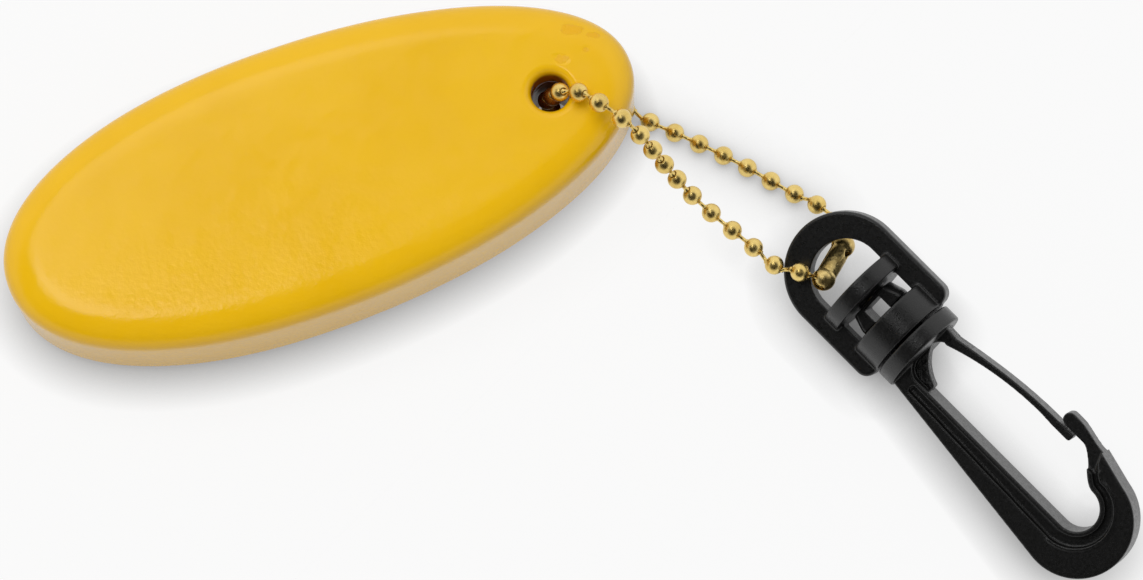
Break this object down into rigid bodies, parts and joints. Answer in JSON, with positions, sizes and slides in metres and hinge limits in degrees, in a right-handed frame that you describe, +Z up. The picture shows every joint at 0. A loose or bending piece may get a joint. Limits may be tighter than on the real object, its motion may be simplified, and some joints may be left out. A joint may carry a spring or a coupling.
{
  "type": "floating keychain",
  "caption": "Floating keychain: an oval yellow painted wooden float on a closed brass ball chain, with a black moulded swivel snap hook.",
  "frame": {"origin": "middle of the whole object's box, on the surface that it lies on", "axes": "+Z up, +X from the float's far end towards the hook along the longest extent"},
  "size_m": [0.1876, 0.0948, 0.0301],
  "materials": {
    "yellow_paint": "glossy yellow enamel over wood, with a faint orange peel and a few chips by the bore",
    "bright_brass": "bright brass plate",
    "dull_brass": "dull brown brass strip",
    "black_plastic": "satin moulded acetal with fine texture"
  },
  "bodies": {
    "keychain": {"float_body": "yellow_paint", "chain_connector": "dull_brass", "swivel_loop": "black_plastic", "chain_bead_01": "bright_brass", "chain_bead_02": "bright_brass", "chain_bead_03": "bright_brass", "chain_bead_04": "bright_brass", "chain_bead_05": "bright_brass", "chain_bead_06": "bright_brass", "chain_bead_07": "bright_brass", "chain_bead_08": "bright_brass", "chain_bead_09": "bright_brass", "chain_bead_10": "bright_brass", "chain_bead_11": "bright_brass", "chain_bead_12": "bright_brass", "chain_bead_13": "bright_brass", "chain_bead_14": "bright_brass", "chain_bead_15": "bright_brass", "chain_bead_16": "bright_brass", "chain_bead_17": "bright_brass", "chain_bead_18": "bright_brass", "chain_bead_19": "bright_brass", "chain_bead_20": "bright_brass", "chain_bead_21": "bright_brass", "chain_bead_22": "bright_brass", "chain_bead_23": "bright_brass", "chain_bead_24": "bright_brass", "chain_bead_25": "bright_brass", "chain_bead_26": "bright_brass", "chain_bead_27": "bright_brass", "chain_bead_28": "bright_brass", "chain_bead_29": "bright_brass", "chain_bead_30": "bright_brass", "chain_bead_31": "bright_brass", "chain_bead_32": "bright_brass"},
    "hook": {"snap_hook": "black_plastic"},
    "gate_leaf": {"gate": "black_plastic"}
  },
  "joints": [
    {"name": "hook_swivel", "type": "hinge", "parent": "keychain", "child": "hook", "pos_m": [0.05873, -0.00923, 0.0079], "axis": [0.6903, -0.7236, 0], "continuous": true},
    {"name": "gate_flex", "type": "hinge", "parent": "hook", "child": "gate_leaf", "pos_m": [0.06303, -0.00762, 0.00996], "axis": [0.3172, 0.3026, -0.8988], "range_deg": [0, 16], "stiffness_Nm_per_rad": 0.05}
  ]
}
